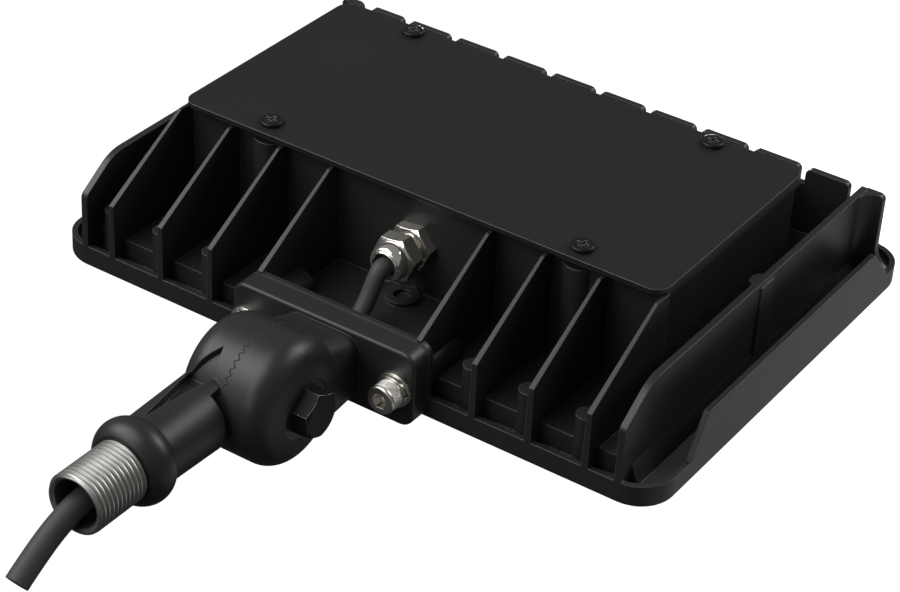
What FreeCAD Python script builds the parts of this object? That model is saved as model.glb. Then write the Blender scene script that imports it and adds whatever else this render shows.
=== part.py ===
import FreeCAD, Part
import math
import os

os.makedirs("parts", exist_ok=True)
V = FreeCAD.Vector

# Flood light on a knuckle mount, in millimetres, lying with its lens side down.
# The origin is on the thread axis where the thread leaves the collar.
# +Y runs from the thread to the light, +X along the light's long side, +Z up.

# Thread nipple and arm
thread_od = 20.8
thread_pitch = 25.4 / 14
thread_turns = 11
thread_depth = 1.1
thread_land = 0.45
thread_run_out = 0.6
nipple_chamfer = 0.8
nipple_bore_r = 8.2
mouth_bevel = 0.8
nipple_root_r = 9.2
nipple_root_length = 10.0
collar_r = 14.5
collar_face_r = 11.6
collar_length = 11.5
collar_peak = 5.2
tube_r = 11.8
tube_end_r = 13.0
arm_reach = 58.5
arm_bore_r = 5.8
seam_offset = 7.3
pocket_width = 9.0
pocket_floor = 8.3
pocket_shift = 2.6
pocket_back = 18.9
pocket_tip_x = 0.6
pocket_tip_back = 10.6
pocket_drum_depth = 1.8

# Knuckle drum, its face teeth and the pivot bolt
drum_r = 21.9
drum_wall = 3.4
drum_gap = 0.6
arm_turning_gap = 2.4
arm_drum_width = 17.4
arm_dome_rise = 2.4
arm_drum_edge_r = 9.0
head_drum_width = 13.5
head_dome_rise = 5.0
head_drum_edge_r = 8.0
tooth_count = 48
tooth_depth = 1.3
tooth_gap = 0.3
tooth_fill = 0.94
tooth_ring = 7.4
hub_setback = 1.5
head_hub_r = 8.6
arm_hub_r = 10.7
bolt_r = 4.76
bolt_clearance = 0.07
hex_flats = 14.29
hex_turn = 37.0
bolt_head_height = 6.2
bolt_seat = 17.0
spotface_r = 10.4
seat_gap = 0.1
nut_height = 8.3
nut_clearance = 0.12
nut_recess = 0.6
bolt_tail = 1.0

# Knuckle flange and neck
pivot_to_flange = 31.0
flange_length = 72.0
flange_height = 27.6
flange_thick = 7.5
flange_corner_r = 5.0
flange_edge_r = 1.2
flange_gasket_thick = 1.0
flange_bottom = 0.3
neck_half_width = 15.0
neck_drum_half = 19.0
neck_inset = 2.2
neck_round = 6.0
wire_hole_r = 6.0
wire_hole_x = 2.0
wire_groove = 11.0
flange_bolt_x = 29.5
flange_bolt_r = 3.0
flange_bolt_clear = 0.3
flange_bolt_length = 25.0
cap_head_r = 5.0
cap_head_height = 6.0
cap_edge_r = 0.6
cap_socket_flats = 5.0
cap_socket_depth = 3.0
washer_r = 6.1
washer_thick = 1.6
spring_washer_r = 5.6
spring_washer_thick = 1.6
spring_washer_slot = 1.0
washer_clearance = 0.15

# Housing tray, walls and fins, measured from the near face, the centre and the front edge
axis_height = 18.0
body_length = 239.0
body_depth = 175.0
corner_r = 13.0
rim_height = 8.3
rim_wall = 2.0
rim_edge_r = 1.8
ledge_height = 5.2
wall_foot = 3.0
wall_foot_height = 7.0
pan_end_gap = 6.0
pan_corner_r = 8.0
floor_top = 12.8
floor_thick = 2.5
side_wall_height = 22.7
side_wall_start = 22.5
side_wall_ramp = 8.5
far_ramp_start = 145.5
far_ramp = 13.0
fin_pitch = 21.0
fin_root = 2.6
fin_tip = 1.2
fin_front_height = 28.6
fin_crest_gap = 1.4
near_fin_steps = (1.5, 2.5, 3.5, 4.5)
far_fin_steps = (0.5, 1.5, 2.5, 3.5)
tall_wall_x = 106.4
tall_wall_thick = 2.4
tall_wall_height = 38.7
tall_wall_start = 28.4
tall_wall_start_r = 2.6
tall_wall_knee = 14.8
tall_wall_knee_r = 17.0
far_wall_near = 157.5
far_wall_height = 38.0
far_wall_shift = -1.0
far_end_gap = 4.3
far_wall_thick = 2.5
far_wall_notch = 2.6
far_wall_notch_depth = 6.0
far_wall_flare = 10.0
far_flare_foot = 2.0
far_flare_mid = (1.6, 4.5)
far_wall_end = 114.0
far_tab_r = 2.0
bay_ring_r = 6.0
bay_ring_height = 1.4
pad_thick = 2.0
bolt_boss_r = 6.2
bolt_boss_length = 20.0
thread_fit = 0.05

# Driver box and cover
cover_length = 190.0
cover_depth = 95.0
cover_thick = 1.7
cover_near = 38.1
cover_corner_r = 5.5
cover_gasket_thick = 1.0
box_top = 50.1
box_wall = 3.0
box_lip = 1.2
box_lip_height = 2.6
cover_side_lap = 2.0
cover_near_lap = 4.0
cover_far_lap = 2.4
cover_screw_x = 61.8
cover_screw_near = 6.8
cover_screw_far = 4.9
cover_screw_r = 2.0
cover_screw_length = 12.0
cover_screw_head_r = 4.1
cover_screw_head_height = 1.7
pan_edge_share = 0.4
cover_boss_r = 6.0
cover_boss_step = 2.1
screw_hole_clear = 0.25
recess_width = 0.9
recess_depth = 1.2

# Driver and its leads
driver_length = 150.0
driver_depth = 56.0
driver_height = 31.0
driver_edge_r = 2.0
driver_near_gap = 16.0
driver_foot = 9.0
driver_foot_x = 48.0
driver_foot_thick = 2.5
driver_screw_r = 2.0
driver_screw_head_r = 3.6
driver_screw_head_height = 2.2
driver_screw_length = 4.6
led_lead_r = 1.1
led_lead_spread = 3.4
led_lead_reach = 7.6
led_lead_bend = 6.0
led_lead_height = 12.0
grommet_r = 5.4
grommet_lip = 1.3
grommet_lip_thick = 1.2

# Cable gland and cable
gland_x = 0.4
gland_height = 31.2
gland_flats = 15.0
gland_turn = 8.0
gland_hex_thick = 4.3
gland_gap = 3.0
gland_nut_thick = 5.7
gland_dome_length = 5.0
gland_dome_r = 5.2
gland_dome_edge_r = 1.6
gland_thread_r = 6.2
gland_thread_length = 9.0
gland_spigot_r = 5.6
gland_locknut_thick = 3.2
seal_wall = 1.6
lead_r = 3.0
lead_neck_reach = 6.8
supply_r = 3.9
supply_lead_length = 26.0
cable_clearance = 0.3
mouth_flare = 1.2
fit_clearance = 0.08

# Front: bezel, glass, gasket, lenses and board
bezel_margin = 4.4
bezel_thick = 1.6
bezel_corner_r = 9.0
bezel_clearance = 0.3
window_length = 188.0
window_depth = 122.0
window_corner_r = 6.0
glass_lap = 6.0
glass_thick = 3.0
glass_corner_r = 7.0
gasket_wall = 2.4
gasket_lip_thick = 0.6
chamber_margin = 2.0
board_thick = 1.6
board_gap = 1.5
emitter_columns = 14
emitter_rows = 7
emitter_size = 3.0
emitter_height = 0.6
lens_sheet_thick = 1.2
lens_inset_x = 1.6
lens_inset_y = 5.1
lens_sheet_margin = 4.0
lens_dome_r = 4.4
lens_dome_height = 1.2
lens_gap = 0.2
lens_post_r = 1.2
lens_post_inset = 3.0
board_screw_r = 1.5
board_screw_head_r = 2.8
board_screw_head_height = 0.7
board_screw_length = 3.4
board_screw_inset = 3.6
bezel_screw_r = 1.5
bezel_screw_head_r = 2.7
bezel_screw_head_height = 1.2
bezel_screw_length = 10.0
bezel_screw_inset = 8.2
bezel_boss_r = 3.6
bezel_boss_height = 21.7
bezel_boss_shift = 5.2
bezel_boss_steps = (-4.5, -3.5, -2.5, 2.5, 3.5, 4.5)
side_boss_r = 4.6
side_boss_y = 86.5
side_boss_height = 37.2
side_boss_proud = 0.6

# Places worked out from the sizes above
near_face_y = arm_reach + pivot_to_flange + flange_thick + flange_gasket_thick
head_origin = V(seam_offset, near_face_y, -axis_height)
pivot_origin = V(seam_offset, arm_reach, 0)
half_length = body_length / 2
thread_r = thread_od / 2
thread_length = thread_run_out + thread_turns * thread_pitch + nipple_chamfer
flange_mid_z = flange_bottom + flange_height / 2
flange_drop = flange_mid_z - axis_height
cover_far = cover_near + cover_depth
cover_bottom = box_top + cover_gasket_thick
cover_top = cover_bottom + cover_thick
box_x = cover_length / 2 - cover_side_lap
box_near = cover_near + cover_near_lap
box_far = cover_far - cover_far_lap
ceiling = floor_top - floor_thick
body_mid_y = body_depth / 2
glass_bottom = bezel_thick + gasket_lip_thick
pocket_top = glass_bottom + glass_thick + gasket_lip_thick
pocket_length = window_length + 2 * glass_lap + 2 * gasket_wall
pocket_depth = window_depth + 2 * glass_lap + 2 * gasket_wall
chamber_length = window_length + 2 * chamber_margin
chamber_depth = window_depth + 2 * chamber_margin
board_length = chamber_length - 2 * board_gap
board_depth = chamber_depth - 2 * board_gap
board_bottom = ceiling - board_thick
sheet_length = board_length - 2 * lens_inset_x
sheet_depth = board_depth - 2 * lens_inset_y
emitter_pitch_x = (sheet_length - 2 * (lens_dome_r + lens_sheet_margin)) / (emitter_columns - 1)
emitter_pitch_y = (sheet_depth - 2 * (lens_dome_r + lens_sheet_margin)) / (emitter_rows - 1)
driver_near = box_near + box_wall + driver_near_gap
driver_end = driver_length / 2
grommet_x = driver_end + led_lead_reach
grommet_y = driver_near + driver_depth / 2
cover_screw_places = [(sx * cover_screw_x, y) for sx in (-1, 1)
                      for y in (cover_near + cover_screw_near, cover_far - cover_screw_far)]
bezel_screw_places = [(k * fin_pitch - bezel_boss_shift, y) for k in bezel_boss_steps
                      for y in (bezel_screw_inset, body_depth - bezel_screw_inset)]
bezel_screw_places += [(sx * tall_wall_x, side_boss_y) for sx in (-1, 1)]
board_screw_places = [(sx * (board_length / 2 - board_screw_inset),
                       body_mid_y + sy * (board_depth / 2 - board_screw_inset))
                      for sx in (-1, 1) for sy in (-1, 1)]
driver_screw_places = [(sx * driver_foot_x, driver_near + sy * driver_depth + (sy - 0.5) * driver_foot)
                       for sx in (-1, 1) for sy in (0, 1)]


def box(x0, x1, y0, y1, z0, z1):
    return Part.makeBox(x1 - x0, y1 - y0, z1 - z0, V(x0, y0, z0))


def rod_x(r, x0, x1, y=0.0, z=0.0):
    return Part.makeCylinder(r, x1 - x0, V(x0, y, z), V(1, 0, 0))


def rod_y(r, y0, y1, x=0.0, z=0.0):
    return Part.makeCylinder(r, y1 - y0, V(x, y0, z), V(0, 1, 0))


def rod_z(r, z0, z1, x=0.0, y=0.0):
    return Part.makeCylinder(r, z1 - z0, V(x, y, z0), V(0, 0, 1))


def fuse(shapes):
    joined = shapes[0].multiFuse(shapes[1:]) if len(shapes) > 1 else shapes[0]
    return joined.removeSplitter()


def cut(shape, tools):
    return shape.cut(Part.makeCompound(tools)).removeSplitter()


def prism_x(points, x0, x1):
    ring = [V(x0, y, z) for y, z in points]
    return Part.Face(Part.makePolygon(ring + ring[:1])).extrude(V(x1 - x0, 0, 0))


def prism_z(points, z0, z1):
    ring = [V(x, y, z0) for x, y in points]
    return Part.Face(Part.makePolygon(ring + ring[:1])).extrude(V(0, 0, z1 - z0))


def edges_at(prism, y, z):
    return [e for e in prism.Edges if e.BoundBox.YLength + e.BoundBox.ZLength < 0.01
            and abs(e.BoundBox.YMin - y) + abs(e.BoundBox.ZMin - z) < 0.01]


def hex_x(flats, x0, x1):
    r = flats / math.sqrt(3)
    angles = [math.radians(60 * i + hex_turn) for i in range(6)]
    return prism_x([(r * math.cos(a), r * math.sin(a)) for a in angles], x0, x1)


def hex_y(flats, y0, y1, x, z):
    r = flats / math.sqrt(3)
    corners = [V(x + r * math.cos(math.radians(60 * i)), y0, z + r * math.sin(math.radians(60 * i)))
               for i in range(6)]
    return Part.Face(Part.makePolygon(corners + corners[:1])).extrude(V(0, y1 - y0, 0))


def rounded_slab(length, depth, r, z0, z1, mid_y):
    slab = box(-length / 2, length / 2, mid_y - depth / 2, mid_y + depth / 2, z0, z1)
    upright = [e for e in slab.Edges if abs(e.tangentAt(e.FirstParameter).z) > 0.9]
    return slab.makeFillet(r, upright)


def turned_y(points):
    ring = [V(r, y, 0) for r, y in points]
    return Part.Face(Part.makePolygon(ring + ring[:1])).revolve(V(0, 0, 0), V(0, 1, 0), 360)


def cable(points, r):
    # straight runs joined by tangent arcs, each as large as its shorter run allows
    edges, radii, start = [], [], points[0]
    for a, b, c in zip(points, points[1:], points[2:]):
        u, w = (a - b), (c - b)
        run = 0.45 * min(u.Length, w.Length)
        u.normalize()
        w.normalize()
        turn = math.pi - u.getAngle(w)
        radii.append(run / math.tan(turn / 2))
        p, q = b + u * run, b + w * run
        middle = u + w
        middle.normalize()
        centre = b + middle * (run / math.sin(turn / 2))
        edges += [Part.LineSegment(start, p).toShape(),
                  Part.Arc(p, centre - middle * radii[-1], q).toShape()]
        start = q
    edges.append(Part.LineSegment(start, points[-1]).toShape())
    path = Part.Wire(edges)
    ahead = points[1] - points[0]
    ring = Part.Wire([Part.Circle(points[0], ahead, r).toShape()])
    tube = path.makePipeShell([ring], True, False)
    return tube, path.Length, radii


def report_cable(name, tube, length, radii, r):
    print(name, "length", round(length, 1), "radii", [round(x, 1) for x in radii],
          "volume share", round(tube.Volume / (math.pi * r * r * length), 4))


def save(name, shape, origin=V(0, 0, 0)):
    placed = shape.copy()
    placed.translate(origin)
    solids = placed.Solids
    print(name, len(solids), "solids", round(placed.Volume / 1000, 2), "cm3", placed.isValid())
    piece = solids[0] if len(solids) == 1 else Part.makeCompound(solids)
    piece.exportStep("parts/" + name + ".step")


# Thread nipple: ring-grooved thread, bevelled mouth and a plain root inside the arm
def threaded_nipple():
    valley = thread_r - thread_depth
    flank = (thread_pitch - thread_land) / 2
    points = [(nipple_bore_r, nipple_root_length), (nipple_root_r, nipple_root_length),
              (nipple_root_r, 0), (thread_r, 0), (thread_r, -thread_run_out)]
    for i in range(thread_turns):
        top = -thread_run_out - i * thread_pitch
        points += [(valley, top - flank), (thread_r, top - 2 * flank), (thread_r, top - thread_pitch)]
    points += [(thread_r - nipple_chamfer, -thread_length),
               (nipple_bore_r + mouth_bevel, -thread_length),
               (nipple_bore_r, -thread_length + mouth_bevel)]
    return turned_y(points)


# Face teeth: radial grooves of even depth cut into a half drum's seam face
def tooth_grooves(crest, side, phase):
    grooves = []
    inner, outer = drum_r - tooth_ring - 1.0, drum_r + 1.0
    step = 2 * math.pi / tooth_count
    for i in range(tooth_count):
        angle = (i + phase) * step
        along = V(0, math.cos(angle), math.sin(angle))
        across = V(0, -math.sin(angle), math.cos(angle))
        wires = []
        for r in (inner, outer):
            half = tooth_fill * r * math.tan(step / 2)
            root = along * r + V(crest - side * tooth_depth, 0, 0)
            left = along * r + across * half + V(crest, 0, 0)
            right = along * r - across * half + V(crest, 0, 0)
            wires.append(Part.makePolygon([left, root, right, left]))
        grooves.append(Part.makeLoft(wires, True, True))
    return grooves


def domed_drum(flat, rise, side, crest, edge_r):
    # a short cylinder about the pivot axis whose outer end is a shallow spherical dome with a round rim
    ball_r = (drum_r ** 2 + rise ** 2) / (2 * rise)
    ends = sorted((crest, side * (flat + rise)))
    ball = Part.makeSphere(ball_r, V(side * (flat + rise - ball_r), 0, 0))
    drum = rod_x(drum_r, ends[0], ends[1]).common(ball)
    rims = [e for e in drum.Edges if e.BoundBox.XLength < 0.01 and e.BoundBox.YLength > drum_r
            and abs(e.BoundBox.XMin - side * flat) < 0.01]
    return drum.makeFillet(edge_r, rims)


tooth_reach = (tooth_depth - tooth_gap) / 2


def drum_hollow(hub_r, side, width):
    # ring-shaped wireway round the bolt hub, open towards the seam inside the teeth
    deep = sorted((side * (hub_setback + tooth_depth), side * (width - drum_wall)))
    mouth = sorted((-side * tooth_depth, side * (hub_setback + tooth_depth)))
    room = rod_x(drum_r - drum_wall, deep[0], deep[1])
    room = room.fuse(rod_x(drum_r - tooth_ring, mouth[0], mouth[1]))
    hub = sorted((side * hub_setback, side * width))
    return room.cut(rod_x(hub_r, hub[0], hub[1]))


# Arm: toothed half drum, tube with a pocket on top, collar and nipple socket
def knuckle_arm():
    bulge = Part.Arc(V(collar_face_r, 0, 0), V(collar_r, collar_peak, 0),
                     V(tube_r, collar_length, 0)).toShape()
    side = Part.makePolygon([V(tube_r, collar_length, 0), V(tube_end_r, arm_reach, 0),
                             V(0, arm_reach, 0), V(0, 0, 0), V(collar_face_r, 0, 0)])
    tube = Part.Face(Part.Wire([bulge] + side.Edges)).revolve(V(0, 0, 0), V(0, 1, 0), 360)
    turning_room = box(seam_offset - tooth_depth, drum_r * 2, arm_reach - drum_r - arm_turning_gap,
                       arm_reach + 1.0, -drum_r, drum_r)
    widest = arm_reach - pocket_back
    pocket = prism_z([(pocket_shift - pocket_width / 2, collar_length + 1.0), (pocket_shift, widest),
                      (pocket_tip_x, arm_reach - pocket_tip_back), (pocket_shift - pocket_width, widest)],
                     pocket_floor, drum_r * 2)
    pocket = pocket.cut(rod_x(drum_r - pocket_drum_depth, -drum_r * 2, drum_r * 2, arm_reach))
    tube = tube.cut(turning_room)
    drum = domed_drum(arm_drum_width, arm_dome_rise, -1, tooth_reach, arm_drum_edge_r)
    drum.translate(pivot_origin)
    body = fuse([tube.cut(pocket), drum.cut(pocket)])
    socket_bottom = nipple_root_length + fit_clearance
    wireway = rod_y(arm_bore_r, nipple_root_length - 1.0, arm_reach - bolt_r)
    socket = rod_y(nipple_root_r + fit_clearance, -1.0, socket_bottom)
    cavity = drum_hollow(arm_hub_r, -1, arm_drum_width)
    bolt_hole = rod_x(bolt_r + bolt_clearance, -drum_r * 2, drum_r)
    nut_room = hex_x(hex_flats + 2 * nut_clearance, -(arm_drum_width + arm_dome_rise + 1.0), -nut_seat)
    tools = tooth_grooves(tooth_reach, 1, 0.0) + [cavity, bolt_hole, nut_room]
    for tool in tools:
        tool.translate(pivot_origin)
    hub = rod_x(arm_hub_r, -arm_drum_width, -hub_setback)
    hub.translate(pivot_origin)
    return cut(body, tools + [wireway.cut(hub), socket])


nut_seat = arm_drum_width + arm_dome_rise - nut_height - nut_recess


def pivot_nut():
    nut = hex_x(hex_flats, -nut_seat - nut_height, -nut_seat)
    return nut.cut(rod_x(bolt_r + bolt_clearance, -drum_r * 2, drum_r))


def pivot_bolt():
    head_start = bolt_seat + seat_gap
    head_end = head_start + bolt_head_height
    corner_r = hex_flats / math.sqrt(3)
    rounding = Part.makeCone(corner_r + bolt_head_height * 1.7, hex_flats / 2 - 0.3, bolt_head_height,
                             V(head_start, 0, 0), V(1, 0, 0))
    head = hex_x(hex_flats, head_start, head_end).common(rounding)
    shank = rod_x(bolt_r, -nut_seat - nut_height - bolt_tail, head_start)
    return fuse([head, shank])


# Flange casting of the light: plate, tapering neck and toothed half drum
def knuckle_flange():
    back = pivot_to_flange + flange_thick
    low = flange_drop - flange_height / 2
    high = flange_drop + flange_height / 2
    plate = box(-flange_length / 2, flange_length / 2, pivot_to_flange, back, low, high)
    plate = plate.makeFillet(flange_corner_r,
                             [e for e in plate.Edges if abs(e.tangentAt(e.FirstParameter).y) > 0.9])
    front = [e for e in plate.Edges if e.BoundBox.YMax < pivot_to_flange + 0.01]
    plate = plate.makeFillet(flange_edge_r, front)
    neck = prism_x([(0, -neck_drum_half), (pivot_to_flange + 1.0, low + neck_inset),
                    (pivot_to_flange + 1.0, high - neck_inset), (0, neck_drum_half)],
                   -neck_half_width, neck_half_width)
    ridges = [e for e in neck.Edges if e.BoundBox.YLength > pivot_to_flange and e.BoundBox.XLength < 0.01]
    neck = neck.makeFillet(neck_round, ridges)
    neck = neck.cut(rod_x(drum_r + drum_gap, -drum_r * 2, tooth_depth))
    drum = domed_drum(head_drum_width, head_dome_rise, 1, -tooth_reach, head_drum_edge_r)
    body = fuse([plate, neck, drum])
    spotface = rod_x(spotface_r, bolt_seat, drum_r * 2)
    bolt_hole = rod_x(bolt_r + bolt_clearance, -drum_r, drum_r * 2)
    hub = rod_x(head_hub_r, hub_setback, bolt_seat)
    wireway = rod_y(wire_hole_r, bolt_r, back + 1.0, wire_hole_x, flange_drop).cut(hub)
    bolt_holes = [rod_y(flange_bolt_r + flange_bolt_clear, pivot_to_flange - 1.0, back + 1.0,
                        sx * flange_bolt_x, flange_drop) for sx in (-1, 1)]
    cavity = drum_hollow(head_hub_r, 1, head_drum_width)
    return cut(body, tooth_grooves(-tooth_reach, -1, 0.5)
               + [spotface, bolt_hole, wireway, cavity] + bolt_holes)


# Pad outline shared by the housing pad and the flange gasket
def pad_slab(y0, y1):
    slab = box(-flange_length / 2, flange_length / 2, y0, y1, flange_bottom, flange_bottom + flange_height)
    return slab.makeFillet(flange_corner_r,
                           [e for e in slab.Edges if abs(e.tangentAt(e.FirstParameter).y) > 0.9])


def flange_gasket():
    slab = pad_slab(-flange_gasket_thick, 0)
    y0, y1 = -flange_gasket_thick - 1, 1
    holes = [rod_y(flange_bolt_r + flange_bolt_clear, y0, y1, sx * flange_bolt_x, flange_mid_z)
             for sx in (-1, 1)]
    return cut(slab, holes + [rod_y(wire_hole_r, y0, y1, wire_hole_x, flange_mid_z)])


flange_face_y = -flange_gasket_thick - flange_thick
cap_seat_y = flange_face_y - washer_thick - spring_washer_thick


def both_sides(piece):
    return Part.makeCompound([piece(sx * flange_bolt_x) for sx in (-1, 1)])


def flange_bolt(x):
    head = rod_y(cap_head_r, cap_seat_y - cap_head_height, cap_seat_y, x, flange_mid_z)
    rims = [e for e in head.Edges if e.BoundBox.YMax < cap_seat_y - cap_head_height + 0.01]
    head = head.makeFillet(cap_edge_r, rims)
    socket = hex_y(cap_socket_flats, cap_seat_y - cap_head_height - 1,
                   cap_seat_y - cap_head_height + cap_socket_depth, x, flange_mid_z)
    shank = rod_y(flange_bolt_r, cap_seat_y, cap_seat_y + flange_bolt_length, x, flange_mid_z)
    return fuse([head.cut(socket), shank])


def flat_washer(x):
    ring = rod_y(washer_r, flange_face_y - washer_thick, flange_face_y, x, flange_mid_z)
    return ring.cut(rod_y(flange_bolt_r + washer_clearance, cap_seat_y, 0, x, flange_mid_z))


def spring_washer(x):
    ring = rod_y(spring_washer_r, cap_seat_y, cap_seat_y + spring_washer_thick, x, flange_mid_z)
    bore = rod_y(flange_bolt_r + washer_clearance, cap_seat_y - 1, 0, x, flange_mid_z)
    slot = box(x, x + washer_r, cap_seat_y - 1, 0, flange_mid_z, flange_mid_z + spring_washer_slot)
    return ring.cut(bore).cut(slot)


# Housing: tray with rim and raised pan, driver box, fins, walls, pad and screw bosses
def tray():
    slab = rounded_slab(body_length, body_depth, corner_r, 0, rim_height, body_mid_y)
    bottom = [e for e in slab.Edges if e.BoundBox.ZMax < 0.01]
    slab = slab.makeFillet(rim_edge_r, bottom)
    inner = rounded_slab(body_length - 2 * rim_wall, body_depth - 2 * rim_wall, corner_r - rim_wall,
                         ledge_height, rim_height + 1, body_mid_y)
    pan = rounded_slab(2 * tall_wall_x + tall_wall_thick, body_depth - 2 * pan_end_gap, pan_corner_r,
                       ledge_height - 1, floor_top, body_mid_y)
    return fuse([slab.cut(inner), pan])


def raised_sides():
    # thin wall on the rim's outline along both short sides, with a ramp at each end
    outer = rounded_slab(body_length, body_depth, corner_r, rim_height - 1, side_wall_height, body_mid_y)
    inner = rounded_slab(body_length - 2 * rim_wall, body_depth - 2 * rim_wall, corner_r - rim_wall,
                         rim_height - 2, side_wall_height + 1, body_mid_y)
    ring = outer.cut(inner)
    low = rim_height - 1
    profile = [(side_wall_start, low), (side_wall_start, rim_height),
               (side_wall_start + side_wall_ramp, side_wall_height), (far_ramp_start, side_wall_height),
               (far_ramp_start + far_ramp, rim_height), (far_ramp_start + far_ramp, low)]
    return ring.common(prism_x(profile, -body_length, body_length))


def tapered_fins(profile, steps):
    # sides drafted from root to tip, as the casting leaves its mould
    low, high = ledge_height - 1, box_top + 1
    draft = (fin_root - fin_tip) / 2 / (box_top - ledge_height)
    wide, thin = fin_root / 2 + draft, fin_tip / 2 - draft
    ring = [V(-wide, -1, low), V(wide, -1, low), V(thin, -1, high), V(-thin, -1, high)]
    wedge = Part.Face(Part.makePolygon(ring + ring[:1])).extrude(V(0, body_depth, 0))
    fin = prism_x(profile, -fin_root, fin_root).common(wedge)
    fins = []
    for k in steps:
        for s in (-1, 1):
            one = fin.copy()
            one.translate(V(s * k * fin_pitch, 0, 0))
            fins.append(one)
    return fins


def near_fins():
    crest = cover_near - fin_crest_gap
    profile = [(0, ledge_height - 1), (0, fin_front_height), (crest, box_top), (box_near + 1, box_top),
               (box_near + 1, ledge_height - 1)]
    return tapered_fins(profile, near_fin_steps)


def far_fins():
    profile = [(box_far - 1, floor_top - 1), (box_far - 1, box_top), (box_far, box_top),
               (far_wall_near + 1, far_wall_height - far_tab_r), (far_wall_near + 1, floor_top - 1)]
    return tapered_fins(profile, far_fin_steps)


def tall_walls():
    inside = tall_wall_thick / 2
    face = tall_wall_x + inside
    low = ledge_height - 1
    far = far_wall_near + 1
    wall = prism_x([(0, low), (0, tall_wall_start), (tall_wall_knee, tall_wall_height),
                    (far, tall_wall_height), (far, low)], -inside, inside)
    wall = wall.makeFillet(tall_wall_knee_r, edges_at(wall, tall_wall_knee, tall_wall_height))
    wall = wall.makeFillet(tall_wall_start_r, edges_at(wall, 0, tall_wall_start))
    foot_top = ledge_height + wall_foot_height
    foot = [(face - 1, low), (face + wall_foot, low), (face + wall_foot, ledge_height), (face, foot_top),
            (face - 1, foot_top)]
    walls = []
    for s in (-1, 1):
        side = wall.copy()
        side.translate(V(s * tall_wall_x, 0, 0))
        ring = [V(s * x, pan_end_gap, z) for x, z in foot]
        walls += [side, Part.Face(Part.makePolygon(ring + ring[:1])).extrude(V(0, far - pan_end_gap, 0))]
    return walls


def far_wall():
    # tabs one fin pitch wide between narrow notches; the end tabs sweep round into the tall walls, and the ends
    # flare out to the side walls at the foot
    y0, y1 = far_wall_near, far_wall_near + far_wall_thick
    root = far_wall_height - far_wall_notch_depth
    inner = tall_wall_x - tall_wall_thick / 2
    cuts = [i * fin_pitch + far_wall_shift for i in range(-4, 5)]
    half_notch = far_wall_notch / 2
    spans = [(a + half_notch, b - half_notch) for a, b in zip(cuts, cuts[1:])]
    spans += [(cuts[-1] + half_notch, inner - far_end_gap), (far_end_gap - inner, cuts[0] - half_notch),
              (inner, far_wall_end), (-far_wall_end, -inner)]
    sweep_r = far_wall_end - tall_wall_x - tall_wall_thick / 2
    low = ledge_height - 1
    hollows = [rod_z(sweep_r, low - 1, far_wall_height + 1, sx * far_wall_end, y0 - sweep_r)
               for sx in (-1, 1)]
    tabs = []
    for a, b in spans:
        at_end = max(abs(a), abs(b)) > tall_wall_x
        near, foot_z = (y0 - sweep_r, low) if at_end else (y0, root - 1)
        tab = box(a, b, near, y1, foot_z, far_wall_height)
        tops = [e for e in tab.Edges if e.BoundBox.ZMin > far_wall_height - 0.01 and e.BoundBox.YLength > 1]
        tabs.append(cut(tab.makeFillet(far_tab_r, tops), hollows))
    wide = half_length - rim_wall / 2
    foot = V(wide, y0, rim_height + far_flare_foot)
    top = V(far_wall_end, y0, rim_height + far_wall_flare)
    flare = Part.Arc(foot, V(far_wall_end + far_flare_mid[0], y0, rim_height + far_flare_mid[1]), top)
    rest = Part.makePolygon([top, V(far_wall_end, y0, root), V(0, y0, root), V(0, y0, low),
                             V(wide, y0, low), foot])
    half = Part.Face(Part.Wire([flare.toShape()] + rest.Edges)).extrude(V(0, y1 - y0, 0))
    return [fuse([half, half.mirror(V(0, 0, 0), V(1, 0, 0))] + tabs)]


def driver_box():
    outer = box(-box_x, box_x, box_near, box_far, floor_top - 1, box_top)
    lip = box(-box_x - box_lip, box_x + box_lip, box_near, box_far + box_lip, box_top - box_lip_height,
              box_top)
    inner = box(-box_x + box_wall, box_x - box_wall, box_near + box_wall, box_far - box_wall,
                floor_top, box_top + 1)
    bosses = []
    for x, y in cover_screw_places:
        bosses += [rod_z(cover_boss_r, floor_top - 1, box_top - cover_boss_step, x, y),
                   rod_z(cover_boss_r, floor_top - 1, box_top, x, y).common(outer)]
    return [fuse([fuse([outer, lip]).cut(inner)] + bosses)]


def pad_and_bosses():
    pad = pad_slab(0, pad_thick)
    bay_ring = rod_z(bay_ring_r, floor_top - 1, floor_top + bay_ring_height, gland_x, box_near - bay_ring_r)
    bay_ring = bay_ring.cut(rod_z(bay_ring_r / 2, floor_top, box_top, gland_x, box_near - bay_ring_r))
    bosses = [rod_y(bolt_boss_r, pad_thick - 1, bolt_boss_length, sx * flange_bolt_x, flange_mid_z)
              for sx in (-1, 1)]
    return [pad, bay_ring] + bosses


def screw_bosses():
    bosses = []
    for x, y in bezel_screw_places:
        on_wall = abs(y - side_boss_y) < 0.01
        r, top = (side_boss_r, side_boss_height) if on_wall else (bezel_boss_r, bezel_boss_height)
        bosses.append(rod_z(r, ledge_height - 1, top, x, y))
    out = tall_wall_x + tall_wall_thick / 2 + side_boss_proud
    return [boss.common(box(-out, out, 0, body_depth, 0, box_top)) for boss in bosses]


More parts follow.
